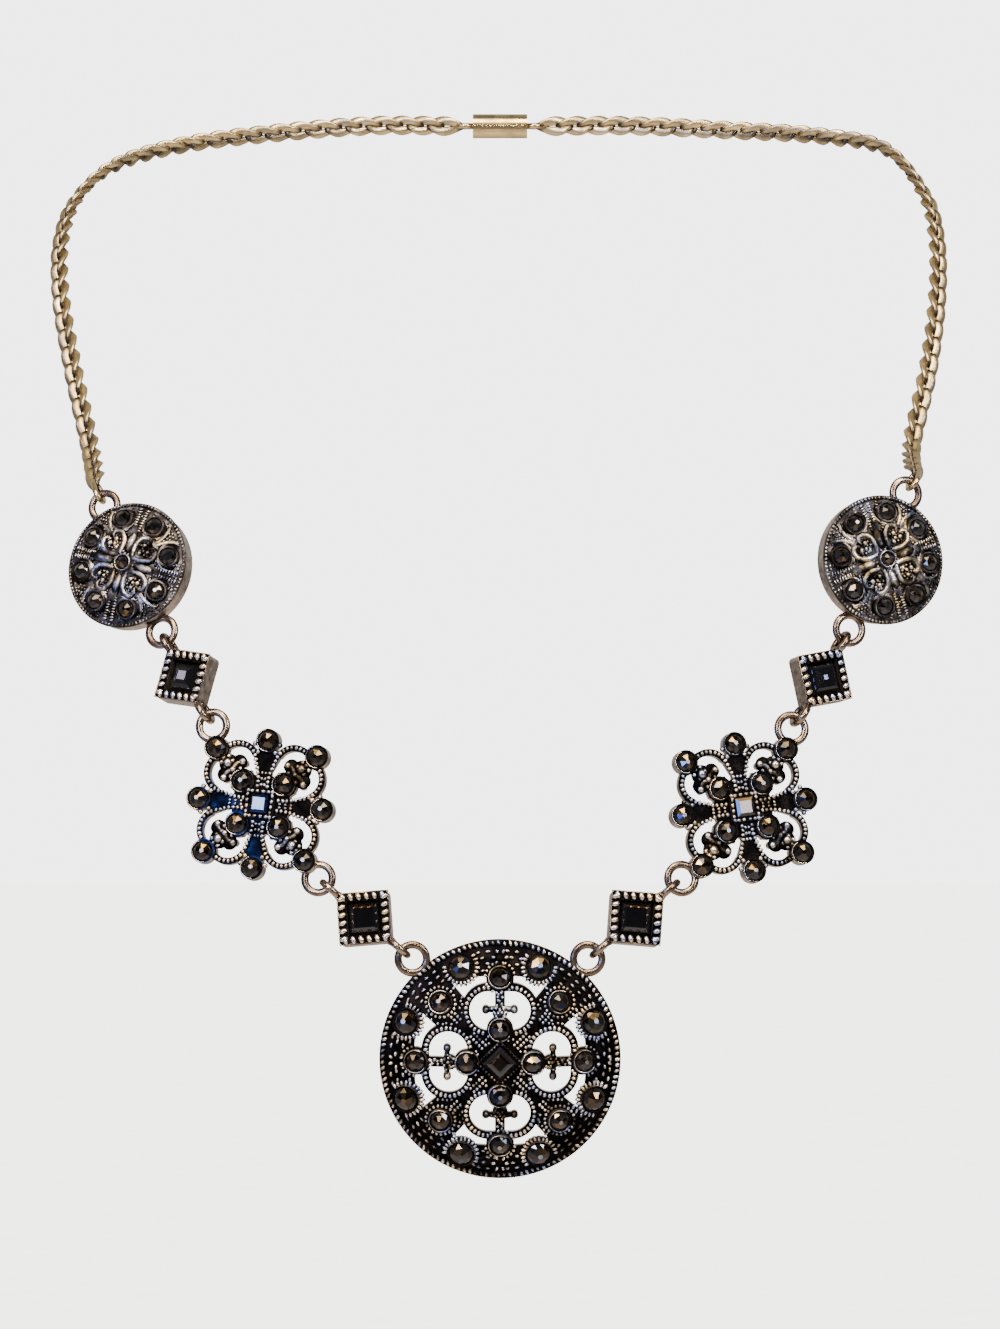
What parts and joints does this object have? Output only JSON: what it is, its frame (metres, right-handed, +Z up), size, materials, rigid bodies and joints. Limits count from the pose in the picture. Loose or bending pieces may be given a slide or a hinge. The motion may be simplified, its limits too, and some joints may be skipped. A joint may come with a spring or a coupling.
{
  "type": "medallion necklace",
  "caption": "Short curb chain necklace with a large domed openwork medallion, filigree flowers, square-set links and small relief medallions, set with dark stones.",
  "frame": {"origin": "the nape, where the back of the neck holds the clasp", "axes": "+Z up, +X to the viewer's right, and the faces look along -Y"},
  "size_m": [0.1419, 0.1107, 0.1681],
  "materials": {
    "antique_silver": "oxidised silver plate, dark in the recesses and bright on the beads",
    "chain_silver": "antique silver with a champagne cast, polished",
    "dark_glass": "opaque near-black glass, faceted"
  },
  "bodies": {
    "strand": {"square_lower_left": "antique_silver", "square_lower_right": "antique_silver", "square_upper_left": "antique_silver", "square_upper_right": "antique_silver", "flower_left": "antique_silver", "flower_right": "antique_silver", "small_medallion_left": "antique_silver", "small_medallion_right": "antique_silver", "end_link_left": "chain_silver", "end_link_right": "chain_silver", "chain_left": "chain_silver", "chain_right": "chain_silver", "clasp": "chain_silver", "stone_lower_left": "dark_glass", "stone_lower_right": "dark_glass", "stone_upper_left": "dark_glass", "stone_upper_right": "dark_glass", "flower_stones_left": "dark_glass", "flower_stones_right": "dark_glass", "flower_square_stone_left": "dark_glass", "flower_square_stone_right": "dark_glass", "small_medallion_stones_left": "dark_glass", "small_medallion_stones_right": "dark_glass"},
    "drop": {"medallion": "antique_silver", "medallion_round_stones": "dark_glass", "medallion_square_stone": "dark_glass"}
  },
  "joints": [
    {"name": "medallion_swing", "type": "hinge", "parent": "strand", "child": "drop", "pos_m": [0, -0.1022, -0.1317], "axis": [1, 0, 0], "range_deg": [-45, 30]}
  ]
}
